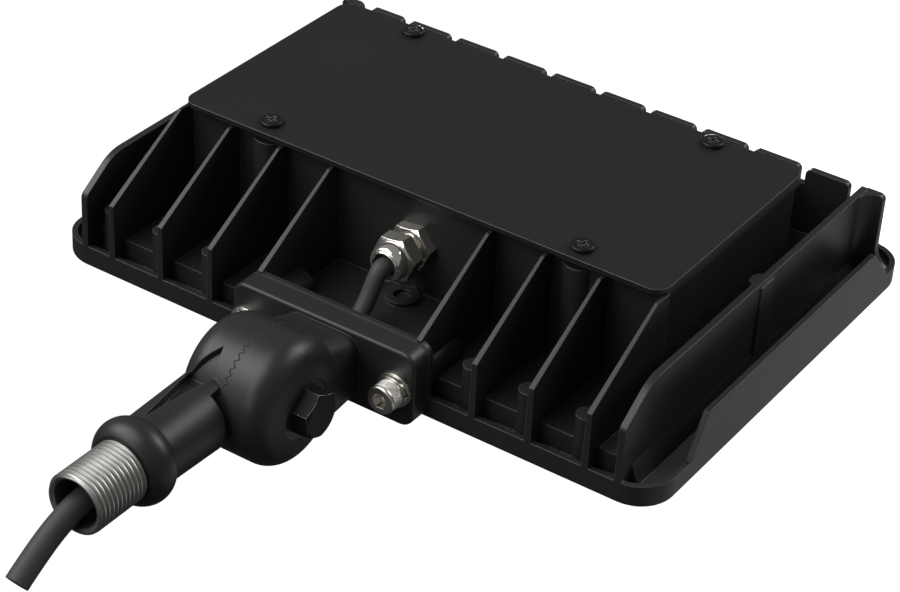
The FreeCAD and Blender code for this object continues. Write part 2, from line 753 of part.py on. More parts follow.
def housing():
    solid = fuse([tray(), raised_sides()] + near_fins() + far_fins() + tall_walls() + far_wall()
                 + driver_box() + pad_and_bosses() + screw_bosses())
    recess = rounded_slab(body_length - 2 * bezel_margin + 2 * bezel_clearance,
                          body_depth - 2 * bezel_margin + 2 * bezel_clearance,
                          bezel_corner_r + bezel_clearance, -1, bezel_thick, body_mid_y)
    pocket = rounded_slab(pocket_length, pocket_depth, glass_corner_r + gasket_wall, 0, pocket_top,
                          body_mid_y)
    chamber = rounded_slab(chamber_length, chamber_depth, window_corner_r, 0, ceiling, body_mid_y)
    holes = [rod_z(bezel_screw_r + thread_fit, 0, bezel_screw_length + 2, x, y)
             for x, y in bezel_screw_places]
    holes += [rod_z(cover_screw_r + thread_fit, box_top - cover_screw_length, box_top + 1, x, y)
              for x, y in cover_screw_places]
    holes += [rod_z(board_screw_r + thread_fit, 0, board_bottom + board_screw_length + 0.3, x, y)
              for x, y in board_screw_places]
    holes += [rod_z(driver_screw_r + thread_fit, floor_top + driver_foot_thick - driver_screw_length - 0.3,
                    floor_top + 1, x, y) for x, y in driver_screw_places]
    holes += [rod_y(flange_bolt_r + thread_fit, -1, cap_seat_y + flange_bolt_length + 1,
                    sx * flange_bolt_x, flange_mid_z) for sx in (-1, 1)]
    wire_holes = [rod_y(wire_hole_r, -1, pad_thick + wire_groove, wire_hole_x, flange_mid_z),
                  rod_y(gland_thread_r + fit_clearance, box_near - 1, box_near + box_wall + 1,
                        gland_x, gland_height),
                  rod_z(grommet_r, ceiling - 1, floor_top + 1, grommet_x, grommet_y)]
    return cut(solid, [recess, pocket, chamber] + holes + wire_holes)


# Cover, its gasket and its screws
def driver_cover():
    plate = rounded_slab(cover_length, cover_depth, cover_corner_r, cover_bottom, cover_top,
                         (cover_near + cover_far) / 2)
    return cut(plate, [rod_z(cover_screw_r + screw_hole_clear, cover_bottom - 1, cover_top + 1, x, y)
                       for x, y in cover_screw_places])


def cover_gasket():
    ring = box(-box_x, box_x, box_near, box_far, box_top, cover_bottom)
    ring = ring.cut(box(-box_x + box_wall, box_x - box_wall, box_near + box_wall, box_far - box_wall,
                        box_top - 1, cover_bottom + 1))
    pads = [rod_z(cover_boss_r, box_top, cover_bottom, x, y).common(
        box(-box_x, box_x, box_near, box_far, box_top, cover_bottom)) for x, y in cover_screw_places]
    holes = [rod_z(cover_screw_r + screw_hole_clear, box_top - 1, cover_bottom + 1, x, y)
             for x, y in cover_screw_places]
    return cut(fuse([ring] + pads), holes)


def pan_screw(x, y, seat, head_r, head_height, r, length, up):
    # flat head with a rounded edge and a cross recess, shank on the other side of its seat
    head = rod_z(head_r, 0, head_height)
    rounded = [e for e in head.Edges if e.BoundBox.ZMin > head_height - 0.01]
    head = head.makeFillet(head_height * pan_edge_share, rounded)
    for w, d in ((recess_width, head_r), (head_r, recess_width)):
        head = head.cut(box(-w / 2, w / 2, -d / 2, d / 2, head_height - min(recess_depth, head_height * 0.6),
                            head_height + 1))
    screw = fuse([head, rod_z(r, -length, 0)])
    if not up:
        screw.rotate(V(0, 0, 0), V(1, 0, 0), 180)
    screw.translate(V(x, y, seat))
    return screw


def cover_screws():
    reach = cover_screw_length - 1.0 + cover_top - box_top
    return Part.makeCompound([pan_screw(x, y, cover_top, cover_screw_head_r, cover_screw_head_height,
                                        cover_screw_r, reach, True) for x, y in cover_screw_places])


# Driver on the floor of its box, with four feet
def led_driver():
    top = floor_top + driver_height
    block = box(-driver_end, driver_end, driver_near, driver_near + driver_depth, floor_top, top)
    block = block.makeFillet(driver_edge_r, [e for e in block.Edges if e.BoundBox.ZMin > top - 0.01])
    feet = [box(x - driver_foot / 2, x + driver_foot / 2, min(y, grommet_y) - driver_foot / 2,
                max(y, grommet_y) + driver_foot / 2, floor_top, floor_top + driver_foot_thick)
            for x, y in driver_screw_places]
    body = fuse([block] + feet)
    holes = [rod_z(driver_screw_r + screw_hole_clear, floor_top - 1, floor_top + driver_foot_thick + 1, x, y)
             for x, y in driver_screw_places]
    return cut(body, holes)


def driver_screws():
    return Part.makeCompound([pan_screw(x, y, floor_top + driver_foot_thick, driver_screw_head_r,
                                        driver_screw_head_height, driver_screw_r, driver_screw_length, True)
                              for x, y in driver_screw_places])


def led_leads():
    wires = []
    for s in (-1, 1):
        y = grommet_y + s * led_lead_spread / 2
        top = floor_top + led_lead_height
        points = [V(driver_end, y, top), V(grommet_x, y, top), V(grommet_x, y, ceiling)]
        turn_in = points[1] - V(led_lead_bend, 0, 0)
        turn_out = points[1] - V(0, 0, led_lead_bend)
        bend = points[1] - V(led_lead_bend * (1 - math.sqrt(0.5)), 0, led_lead_bend * (1 - math.sqrt(0.5)))
        path = Part.Wire([Part.LineSegment(points[0], turn_in).toShape(),
                          Part.Arc(turn_in, bend, turn_out).toShape(),
                          Part.LineSegment(turn_out, points[2]).toShape()])
        ring = Part.Wire([Part.Circle(points[0], V(1, 0, 0), led_lead_r).toShape()])
        wires.append(path.makePipeShell([ring], True, False))
    return Part.makeCompound(wires)


def lead_grommet():
    body = rod_z(grommet_r - fit_clearance, ceiling + 0.2, floor_top, grommet_x, grommet_y)
    lip = rod_z(grommet_r + grommet_lip, floor_top, floor_top + grommet_lip_thick, grommet_x, grommet_y)
    holes = [rod_z(led_lead_r + fit_clearance, ceiling - 1, floor_top + grommet_lip_thick + 1, grommet_x,
                   grommet_y + s * led_lead_spread / 2) for s in (-1, 1)]
    return cut(fuse([body, lip]), holes)


# Gland: body through the box wall, clamping nut with dome, rubber insert and locknut inside
gland_hex_end = box_near - gland_hex_thick
gland_nut_start = gland_hex_end - gland_gap
gland_nut_end = gland_nut_start - gland_nut_thick
gland_mouth = gland_nut_end - gland_dome_length
seal_r = lead_r + seal_wall


def gland_rod(r, y0, y1):
    return rod_y(r, y0, y1, gland_x, gland_height)


def gland_hex(flats, y0, y1):
    prism = hex_y(flats, y0, y1, gland_x, gland_height)
    prism.rotate(V(gland_x, 0, gland_height), V(0, -1, 0), gland_turn)
    return prism


def gland_body():
    hexagon = gland_hex(gland_flats, gland_hex_end, box_near)
    rounding = Part.makeCone(gland_flats / 2 - 0.2, gland_flats / 2 + gland_hex_thick * 1.7, gland_hex_thick,
                             V(gland_x, gland_hex_end, gland_height), V(0, 1, 0))
    stem = gland_rod(gland_thread_r, box_near, box_near + gland_thread_length)
    spigot = gland_rod(gland_spigot_r, gland_nut_end, gland_hex_end)
    body = fuse([hexagon.common(rounding), stem, spigot])
    inside = box_near + gland_thread_length + 1
    return cut(body, [gland_rod(lead_r + cable_clearance, gland_mouth, inside),
                      gland_rod(seal_r + fit_clearance, gland_mouth, gland_hex_end)])


def gland_nut():
    hexagon = gland_hex(gland_flats, gland_nut_end, gland_nut_start)
    rounding = Part.makeCone(gland_flats / 2 - 0.2, gland_flats / 2 + gland_nut_thick * 1.7, gland_nut_thick,
                             V(gland_x, gland_nut_end, gland_height), V(0, 1, 0))
    dome = Part.makeCone(gland_dome_r, gland_flats / 2 - 0.6, gland_dome_length,
                         V(gland_x, gland_mouth, gland_height), V(0, 1, 0))
    dome = dome.makeFillet(gland_dome_edge_r, [e for e in dome.Edges if e.BoundBox.YMax < gland_mouth + 0.01])
    body = fuse([hexagon.common(rounding), dome])
    bore = lead_r + cable_clearance
    flare = Part.makeCone(bore + mouth_flare, bore, gland_dome_length, V(gland_x, gland_mouth, gland_height),
                          V(0, 1, 0))
    return cut(body, [gland_rod(gland_spigot_r + fit_clearance, gland_nut_end, gland_nut_start + 1),
                      gland_rod(lead_r + cable_clearance, gland_mouth - 1, gland_nut_start), flare])


def gland_seal():
    ring = gland_rod(seal_r, gland_nut_end + 0.2, gland_hex_end - 0.2)
    return ring.cut(gland_rod(lead_r + fit_clearance, gland_mouth, box_near))


def gland_locknut():
    start = box_near + box_wall
    nut = gland_hex(gland_flats + 2.0, start, start + gland_locknut_thick)
    return nut.cut(gland_rod(gland_thread_r + fit_clearance, start - 1, start + gland_locknut_thick + 1))


# Cable from the driver through the gland, down behind the pad and into the neck
def driver_lead():
    neck_end = flange_face_y - lead_neck_reach
    drop = gland_height - flange_mid_z
    leave = gland_mouth - 2.5
    points = [V(gland_x, driver_near, gland_height), V(gland_x, leave, gland_height),
              V(gland_x - 0.8, leave - 4.3, gland_height - drop * 0.54),
              V(gland_x - 1.0, pad_thick + 8.5, flange_mid_z + 1.2),
              V(wire_hole_x, 1.0, flange_mid_z - 0.2), V(wire_hole_x, neck_end, flange_mid_z)]
    return cable(points, lead_r)


# Front: bezel ring, glass in its gasket, lens sheet, board and emitters
def front_bezel():
    ring = rounded_slab(body_length - 2 * bezel_margin, body_depth - 2 * bezel_margin, bezel_corner_r,
                        0, bezel_thick, body_mid_y)
    window = rounded_slab(window_length, window_depth, window_corner_r, -1, bezel_thick + 1, body_mid_y)
    holes = [rod_z(bezel_screw_r + screw_hole_clear, -1, bezel_thick + 1, x, y)
             for x, y in bezel_screw_places]
    return cut(ring, [window] + holes)


def bezel_screws():
    return Part.makeCompound([pan_screw(x, y, 0, bezel_screw_head_r, bezel_screw_head_height, bezel_screw_r,
                                        bezel_screw_length, False) for x, y in bezel_screw_places])


def glass_slab(z0, z1, grow):
    return rounded_slab(window_length + 2 * glass_lap + 2 * grow, window_depth + 2 * glass_lap + 2 * grow,
                        glass_corner_r + grow, z0, z1, body_mid_y)


def front_glass():
    return glass_slab(glass_bottom, glass_bottom + glass_thick, 0)


def glass_gasket():
    ring = glass_slab(bezel_thick, pocket_top, gasket_wall - fit_clearance)
    opening = rounded_slab(chamber_length, chamber_depth, window_corner_r, 0, ceiling, body_mid_y)
    return cut(ring, [glass_slab(glass_bottom, glass_bottom + glass_thick, 0), opening])


def led_board():
    plate = rounded_slab(board_length, board_depth, window_corner_r - board_gap, board_bottom, ceiling,
                         body_mid_y)
    return cut(plate, [rod_z(board_screw_r + screw_hole_clear, board_bottom - 1, ceiling + 1, x, y)
                       for x, y in board_screw_places])


def board_screws():
    return Part.makeCompound([pan_screw(x, y, board_bottom, board_screw_head_r, board_screw_head_height,
                                        board_screw_r, board_screw_length, False)
                              for x, y in board_screw_places])


emitter_places = [((i - (emitter_columns - 1) / 2) * emitter_pitch_x,
                   body_mid_y + (j - (emitter_rows - 1) / 2) * emitter_pitch_y)
                  for i in range(emitter_columns) for j in range(emitter_rows)]


def led_emitters():
    half = emitter_size / 2
    low = board_bottom - emitter_height
    return Part.makeCompound([box(x - half, x + half, y - half, y + half, low, board_bottom)
                              for x, y in emitter_places])


def lens_array():
    top = board_bottom - emitter_height - lens_gap
    low = top - lens_sheet_thick
    sheet = rounded_slab(sheet_length, sheet_depth, window_corner_r, low, top, body_mid_y)
    ball_r = (lens_dome_r ** 2 + lens_dome_height ** 2) / (2 * lens_dome_height)
    cap = Part.makeSphere(ball_r, V(0, 0, low - lens_dome_height + ball_r)).common(
        rod_z(lens_dome_r, low - lens_dome_height - 1, low + 0.4))
    caps = []
    for x, y in emitter_places:
        dome = cap.copy()
        dome.translate(V(x, y, 0))
        caps.append(dome)
    posts = [rod_z(lens_post_r, top, board_bottom, sx * (sheet_length / 2 - lens_post_inset),
                   body_mid_y + sy * (sheet_depth / 2 - lens_post_inset))
             for sx in (-1, 1) for sy in (-1, 1)]
    return fuse([sheet] + caps + posts)


# Cable at the thread: a held stretch inside the arm and a short free end with a cut face
cord_route = [V(-0.9, 0.4, -0.3), V(-1.5, -10.5, -1.1), V(-2.0, -21.3, -3.3), V(-2.6, -33.0, -8.9),
              V(-2.9, -43.5, -16.2)]


def supply_lead():
    back = cord_route[0] - cord_route[1]
    back.normalize()
    return Part.makeCylinder(supply_r, supply_lead_length, cord_route[0], back)


def supply_cord():
    return cable(cord_route, supply_r)


save("threaded_nipple", threaded_nipple())
save("knuckle_arm", knuckle_arm())
save("pivot_nut", pivot_nut(), pivot_origin)
save("pivot_bolt", pivot_bolt(), pivot_origin)
save("knuckle_flange", knuckle_flange(), pivot_origin)
save("supply_lead", supply_lead())
cord, cord_length, cord_radii = supply_cord()
report_cable("supply_cord", cord, cord_length, cord_radii, supply_r)
save("supply_cord", cord)
lead, lead_length, lead_radii = driver_lead()
report_cable("driver_lead", lead, lead_length, lead_radii, lead_r)
save("driver_lead", lead, head_origin)
save("flange_gasket", flange_gasket(), head_origin)
save("flange_bolts", both_sides(flange_bolt), head_origin)
save("flange_flat_washers", both_sides(flat_washer), head_origin)
save("flange_spring_washers", both_sides(spring_washer), head_origin)
save("housing", housing(), head_origin)
save("driver_cover", driver_cover(), head_origin)
save("cover_gasket", cover_gasket(), head_origin)
save("cover_screws", cover_screws(), head_origin)
save("led_driver", led_driver(), head_origin)
save("driver_screws", driver_screws(), head_origin)
save("led_leads", led_leads(), head_origin)
save("lead_grommet", lead_grommet(), head_origin)
save("gland_body", gland_body(), head_origin)
save("gland_nut", gland_nut(), head_origin)
save("gland_seal", gland_seal(), head_origin)
save("gland_locknut", gland_locknut(), head_origin)
save("front_bezel", front_bezel(), head_origin)
save("bezel_screws", bezel_screws(), head_origin)
save("front_glass", front_glass(), head_origin)
save("glass_gasket", glass_gasket(), head_origin)
save("led_board", led_board(), head_origin)
save("board_screws", board_screws(), head_origin)
save("led_emitters", led_emitters(), head_origin)
save("lens_array", lens_array(), head_origin)
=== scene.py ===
import math
import bmesh
import bpy
import numpy as np
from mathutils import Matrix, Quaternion, Vector


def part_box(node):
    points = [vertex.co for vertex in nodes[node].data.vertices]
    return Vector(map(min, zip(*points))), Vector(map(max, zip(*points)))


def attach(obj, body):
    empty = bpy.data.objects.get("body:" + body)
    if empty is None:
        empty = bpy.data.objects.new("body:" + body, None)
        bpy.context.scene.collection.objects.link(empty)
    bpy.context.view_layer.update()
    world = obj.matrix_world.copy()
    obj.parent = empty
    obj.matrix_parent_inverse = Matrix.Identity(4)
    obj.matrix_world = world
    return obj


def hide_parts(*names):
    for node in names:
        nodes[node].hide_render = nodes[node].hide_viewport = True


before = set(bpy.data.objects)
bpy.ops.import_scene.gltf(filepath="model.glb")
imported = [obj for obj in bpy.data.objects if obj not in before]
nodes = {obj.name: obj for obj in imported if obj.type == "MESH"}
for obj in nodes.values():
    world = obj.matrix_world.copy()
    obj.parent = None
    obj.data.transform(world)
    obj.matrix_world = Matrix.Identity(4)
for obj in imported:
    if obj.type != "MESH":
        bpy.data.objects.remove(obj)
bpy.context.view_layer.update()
scene = bpy.context.scene
print("frame loaded:", len(nodes), "pieces")


# camera: stands where the photo was taken from, rolled a little
cameraSet = {"place": (0.4089, -0.4705, 0.4790), "aim": (0.03048, 0.12765, 0.00836), "roll": 3.55,
             "lens": 105.03, "sensor": 36.0, "nearest": 0.01}


def facing(place, aim):
    return (Vector(aim) - Vector(place)).to_track_quat("-Z", "Y")


def addCamera(s):
    data = bpy.data.cameras.new("studioCamera")
    data.lens = s["lens"]
    data.sensor_width = s["sensor"]
    data.clip_start = s["nearest"]
    camera = bpy.data.objects.new("studioCamera", data)
    scene.collection.objects.link(camera)
    camera.location = s["place"]
    camera.rotation_mode = "QUATERNION"
    roll = Quaternion((0, 0, 1), math.radians(s["roll"]))
    camera.rotation_quaternion = facing(s["place"], s["aim"]) @ roll
    scene.camera = camera


addCamera(cameraSet)
scene.view_settings.view_transform = "Standard"
print("camera set")


# shader helpers
colourA, colourB, colourMade = 6, 7, 2  # the Mix node's sockets for colours
bumpDepth = 0.0001
bevelSamples = 6


def newNode(tree, kind, **settings):
    node = tree.nodes.new(kind)
    for name, value in settings.items():
        if hasattr(node, name):
            setattr(node, name, value)
        else:
            node.inputs[name].default_value = value
    return node


def feed(tree, value, socket):
    # another node's output is linked, a plain value is set
    if isinstance(value, bpy.types.NodeSocket):
        tree.links.new(value, socket)
    else:
        socket.default_value = value


def mathNode(tree, operation, a, b, clamp=False):
    node = newNode(tree, "ShaderNodeMath", operation=operation, use_clamp=clamp)
    feed(tree, a, node.inputs[0])
    feed(tree, b, node.inputs[1])
    return node.outputs[0]


def dotNode(tree, a, b):
    node = newNode(tree, "ShaderNodeVectorMath", operation="DOT_PRODUCT")
    feed(tree, a, node.inputs[0])
    feed(tree, b, node.inputs[1])
    return node.outputs["Value"]


def mixColour(tree, share, a, b):
    node = newNode(tree, "ShaderNodeMix", data_type="RGBA")
    tree.links.new(share, node.inputs[0])
    for index, colour in ((colourA, a), (colourB, b)):
        feed(tree, (*colour, 1) if isinstance(colour, tuple) else colour, node.inputs[index])
    return node.outputs[colourMade]


def spread(tree, value, low, high):
    node = newNode(tree, "ShaderNodeMapRange")
    tree.links.new(value, node.inputs["Value"])
    node.inputs["To Min"].default_value = low
    node.inputs["To Max"].default_value = high
    return node.outputs["Result"]


def objectPlace(tree):
    return newNode(tree, "ShaderNodeTexCoord").outputs["Object"]


def noiseAt(tree, scale, detail):
    node = newNode(tree, "ShaderNodeTexNoise", Detail=detail)
    tree.links.new(scale, node.inputs["Scale"])
    tree.links.new(objectPlace(tree), node.inputs["Vector"])
    return node.outputs["Fac"]


def newGroup(name, inputs, outputs):
    tree = bpy.data.node_groups.new(name, "ShaderNodeTree")
    for label, value in inputs.items():
        socket = tree.interface.new_socket(label, in_out="INPUT", socket_type="NodeSocketFloat")
        socket.default_value = value
    for label, kind in outputs.items():
        tree.interface.new_socket(label, in_out="OUTPUT", socket_type=kind)
    return tree, tree.nodes.new("NodeGroupInput").outputs, tree.nodes.new("NodeGroupOutput").inputs


def edgeHighlightAndWearGroup():
    # an edge is where the normal averaged over a small radius leaves the surface's own normal; the mask paints
    # pale edge highlights and marks rubbed wear
    tree, given, made = newGroup("edgeHighlightAndWear", {"Radius": 0.0004, "Gain": 4.0, "Breakup": 0.4, "Scale": 400.0},
                                 {"Mask": "NodeSocketFloat", "Normal": "NodeSocketVector"})
    soft = newNode(tree, "ShaderNodeBevel", samples=bevelSamples)
    own = newNode(tree, "ShaderNodeNewGeometry")
    tree.links.new(given["Radius"], soft.inputs["Radius"])
    near = dotNode(tree, soft.outputs["Normal"], own.outputs["Normal"])
    bend = mathNode(tree, "MULTIPLY", mathNode(tree, "SUBTRACT", 1.0, near), given["Gain"])
    rough = mathNode(tree, "MULTIPLY", noiseAt(tree, given["Scale"], detail=4), given["Breakup"])
    tree.links.new(mathNode(tree, "SUBTRACT", bend, rough, clamp=True), made["Mask"])
    tree.links.new(soft.outputs["Normal"], made["Normal"])
    return tree


def paintGrainGroup():
    # height: a share of a fine skin on a slow swell; tone: broad faint clouds
    tree, given, made = newGroup("paintGrain", {"Fine": 1500.0, "Skin": 0.6, "Swell": 160.0, "Cloud": 28.0},
                                 {"Height": "NodeSocketFloat", "Tone": "NodeSocketFloat"})
    fine = mathNode(tree, "MULTIPLY", noiseAt(tree, given["Fine"], detail=2), given["Skin"])
    swell = noiseAt(tree, given["Swell"], detail=2)
    tree.links.new(mathNode(tree, "ADD", fine, swell), made["Height"])
    tree.links.new(noiseAt(tree, given["Cloud"], detail=4), made["Tone"])
    return tree


groups = {"edgeHighlightAndWear": edgeHighlightAndWearGroup(), "paintGrain": paintGrainGroup()}


def placeGroup(tree, name, **settings):
    node = newNode(tree, "ShaderNodeGroup")
    node.node_tree = groups[name]
    for label, value in settings.items():
        node.inputs[label].default_value = value
    return node.outputs


def newMaterial(name, **constants):
    material = bpy.data.materials.new(name)
    material.use_nodes = True
    tree = material.node_tree
    surface = tree.nodes["Principled BSDF"].inputs
    for label, value in constants.items():
        surface[label.replace("_", " ")].default_value = value
    return material, tree, surface


def addBump(tree, surface, height, strength, normal=None):
    bump = newNode(tree, "ShaderNodeBump", Strength=strength, Distance=bumpDepth)
    tree.links.new(height, bump.inputs["Height"])
    if normal is not None:
        tree.links.new(normal, bump.inputs["Normal"])
    tree.links.new(bump.outputs["Normal"], surface["Normal"])


# hard skins: black paint and metal, paler along their edges; the pale edge is a painted edge highlight, partly
# also rubbed paint and polished metal
def hardSkin(name, s):
    material, tree, surface = newMaterial(name, **s["fixed"])
    grain = placeGroup(tree, "paintGrain", Fine=s["fine"], Cloud=s["cloud"])
    edgeMask = placeGroup(tree, "edgeHighlightAndWear", Radius=s["edge"], Gain=s["gain"], Breakup=s["breakup"])
    tone = mixColour(tree, grain["Tone"], s["dark"], s["light"])
    # edges are mixed towards the pale edge tone: a painted edge highlight, partly rubbed wear
    tree.links.new(mixColour(tree, edgeMask["Mask"], tone, s["edgeHighlightAndWearTone"]), surface["Base Color"])
    tree.links.new(spread(tree, grain["Tone"], *s["roughness"]), surface["Roughness"])
    addBump(tree, surface, grain["Height"], s["bump"], edgeMask["Normal"])
    return material


# the pale edge tones in these sets are painted edge highlights, partly rubbed wear
castPaintSet = {"dark": (0.0125, 0.0126, 0.0127), "light": (0.017, 0.0171, 0.0171),
                "edgeHighlightAndWearTone": (0.11, 0.11, 0.11), "roughness": (0.34, 0.44), "fine": 1500.0, "cloud": 28.0,
                "edge": 0.0005, "gain": 2.6, "breakup": 0.4, "bump": 0.12, "fixed": {"IOR": 1.38}}
coverPaintSet = {"dark": (0.0074, 0.0074, 0.0074), "light": (0.0097, 0.0097, 0.0095),
                 "edgeHighlightAndWearTone": (0.2, 0.2, 0.2), "roughness": (0.44, 0.5), "fine": 2200.0, "cloud": 28.0,
                 "edge": 0.0004, "gain": 4.0, "breakup": 0.4, "bump": 0.1, "fixed": {"IOR": 1.36}}
screwPaintSet = {"dark": (0.004, 0.004, 0.004), "light": (0.007, 0.007, 0.007),
                 "edgeHighlightAndWearTone": (0.5, 0.5, 0.5), "roughness": (0.3, 0.42), "fine": 2500.0, "cloud": 28.0,
                 "edge": 0.0002, "gain": 6.0, "breakup": 0.4, "bump": 0.06, "fixed": {"IOR": 1.28}}
nickelSet = {"dark": (0.73, 0.7, 0.63), "light": (0.86, 0.83, 0.76), "edgeHighlightAndWearTone": (0.92, 0.9, 0.86),
             "roughness": (0.07, 0.12), "fine": 3000.0, "cloud": 180.0, "edge": 0.0003, "gain": 1.5,
             "breakup": 0.2, "bump": 0.03, "fixed": {"Metallic": 0.92}}
stainlessSet = {"dark": (0.5, 0.48, 0.44), "light": (0.7, 0.68, 0.63), "edgeHighlightAndWearTone": (0.85, 0.83, 0.8),
                "roughness": (0.22, 0.36), "fine": 3200.0, "cloud": 220.0, "edge": 0.0002, "gain": 1.5,
                "breakup": 0.2, "bump": 0.05, "fixed": {"Metallic": 1.0}}
threadMetalSet = {"dark": (0.29, 0.285, 0.27), "light": (0.46, 0.45, 0.43), "edgeHighlightAndWearTone": (0.7, 0.69, 0.66),
                  "roughness": (0.34, 0.48), "fine": 2600.0, "cloud": 260.0, "edge": 0.0002, "gain": 1.2,
                  "breakup": 0.3, "bump": 0.3, "fixed": {"Metallic": 1.0}}
plainMetalSet = {"dark": (0.48, 0.48, 0.49), "light": (0.6, 0.6, 0.61), "edgeHighlightAndWearTone": (0.8, 0.8, 0.8),
                 "roughness": (0.3, 0.42), "fine": 2400.0, "cloud": 120.0, "edge": 0.0002, "gain": 1.0,
                 "breakup": 0.3, "bump": 0.06, "fixed": {"Metallic": 1.0}}


# blackened bolt: black oxide, rubbed to bare steel along its edges
def blackenedSteel(name, s):
    material, tree, surface = newMaterial(name, IOR=s["ior"])
    grain = placeGroup(tree, "paintGrain", Fine=s["fine"], Cloud=s["cloud"])
    edgeMask = placeGroup(tree, "edgeHighlightAndWear", Radius=s["edge"], Gain=s["gain"], Breakup=s["breakup"],
                      Scale=s["chips"])
    tree.links.new(mixColour(tree, edgeMask["Mask"], s["oxide"], s["steel"]), surface["Base Color"])
    tree.links.new(edgeMask["Mask"], surface["Metallic"])
    tree.links.new(spread(tree, grain["Tone"], *s["roughness"]), surface["Roughness"])
    addBump(tree, surface, grain["Height"], s["bump"], edgeMask["Normal"])
    return material


boltSet = {"oxide": (0.006, 0.006, 0.0062), "steel": (0.7, 0.69, 0.67), "roughness": (0.4, 0.52),
           "fine": 2600.0, "cloud": 120.0, "edge": 0.0004, "gain": 6.0, "breakup": 1.2, "chips": 900.0,
           "bump": 0.06, "ior": 1.2}


# plain skins without wear: cable jacket, rubber, silicone, wire, the board's mask and the emitters' phosphor
def plainSkin(name, s):
    material, tree, surface = newMaterial(name, IOR=s["ior"])
    grain = placeGroup(tree, "paintGrain", Fine=s["fine"], Swell=s["swell"], Cloud=s["cloud"])
    tree.links.new(mixColour(tree, grain["Tone"], s["dark"], s["light"]), surface["Base Color"])
    tree.links.new(spread(tree, grain["Tone"], *s["roughness"]), surface["Roughness"])
    addBump(tree, surface, grain["Height"], s["bump"])
    return material


jacketSet = {"dark": (0.038, 0.038, 0.038), "light": (0.05, 0.05, 0.05), "roughness": (0.46, 0.6),
             "fine": 1800.0, "swell": 220.0, "cloud": 60.0, "bump": 0.14, "ior": 1.3}
rubberSet = {"dark": (0.009, 0.009, 0.009), "light": (0.016, 0.016, 0.016), "roughness": (0.55, 0.7),
             "fine": 2200.0, "swell": 300.0, "cloud": 80.0, "bump": 0.12, "ior": 1.45}
siliconeSet = {"dark": (0.5, 0.5, 0.49), "light": (0.6, 0.6, 0.59), "roughness": (0.5, 0.65),
               "fine": 2000.0, "swell": 250.0, "cloud": 60.0, "bump": 0.08, "ior": 1.42}
redWireSet = {"dark": (0.4, 0.018, 0.016), "light": (0.5, 0.03, 0.026), "roughness": (0.35, 0.45),
              "fine": 2000.0, "swell": 250.0, "cloud": 60.0, "bump": 0.06, "ior": 1.5}
maskSet = {"dark": (0.76, 0.76, 0.74), "light": (0.86, 0.86, 0.84), "roughness": (0.38, 0.5),
           "fine": 2400.0, "swell": 300.0, "cloud": 40.0, "bump": 0.05, "ior": 1.5}
phosphorSet = {"dark": (0.78, 0.56, 0.08), "light": (0.88, 0.68, 0.16), "roughness": (0.35, 0.5),
               "fine": 3000.0, "swell": 500.0, "cloud": 700.0, "bump": 0.1, "ior": 1.5}


# clear pieces: plain transmission, with a slight waviness in the surface
def clearPiece(name, s):
    material, tree, surface = newMaterial(name, Transmission_Weight=1.0, IOR=s["ior"],
                                          Roughness=s["roughness"], Base_Color=(*s["tint"], 1))
    grain = placeGroup(tree, "paintGrain", Fine=s["fine"], Swell=s["swell"])
    addBump(tree, surface, grain["Height"], s["bump"])
    return material


glassSet = {"tint": (0.93, 0.97, 0.95), "ior": 1.52, "roughness": 0.02, "fine": 300.0, "swell": 20.0,
            "bump": 0.01}
acrylicSet = {"tint": (0.96, 0.97, 0.98), "ior": 1.49, "roughness": 0.06, "fine": 900.0, "swell": 80.0,
              "bump": 0.02}


# each finish: the function that makes it, its settings and the nodes that wear it
finishTable = {
    "castPaint": (hardSkin, castPaintSet, ["housing", "knuckle_flange", "knuckle_arm"]),
    "coverPaint": (hardSkin, coverPaintSet, ["driver_cover", "front_bezel"]),
    "screwPaint": (hardSkin, screwPaintSet, ["cover_screws", "bezel_screws"]),
    "nickelPlate": (hardSkin, nickelSet, ["gland_body", "gland_nut", "gland_locknut"]),
    "stainless": (hardSkin, stainlessSet, ["flange_bolts", "flange_spring_washers", "flange_flat_washers"]),
    "threadMetal": (hardSkin, threadMetalSet, ["threaded_nipple"]),
    "plainMetal": (hardSkin, plainMetalSet, ["led_driver", "driver_screws", "board_screws"]),
    "boltSteel": (blackenedSteel, boltSet, ["pivot_bolt", "pivot_nut"]),
    "cableJacket": (plainSkin, jacketSet, ["driver_lead", "supply_lead", "supply_cord"]),
    "sealRubber": (plainSkin, rubberSet, ["gland_seal", "lead_grommet", "flange_gasket"]),
    "silicone": (plainSkin, siliconeSet, ["cover_gasket", "glass_gasket"]),
    "redWire": (plainSkin, redWireSet, ["led_leads"]),
    "boardMask": (plainSkin, maskSet, ["led_board"]),
    "phosphor": (plainSkin, phosphorSet, ["led_emitters"]),
    "lampGlass": (clearPiece, glassSet, ["front_glass"]),
    "lensAcrylic": (clearPiece, acrylicSet, ["lens_array"])}
finishes = {}
for finish, (make, settings, wearers) in finishTable.items():
    finishes[finish] = make(finish, settings)
    for wearer in wearers:
        for slot in nodes[wearer].material_slots:
            slot.material = finishes[finish]
print("finishes:", len(finishes))


# mesh helpers: grids of points, rows along a profile and columns once round, merged where they meet
mergeGap = 1e-7


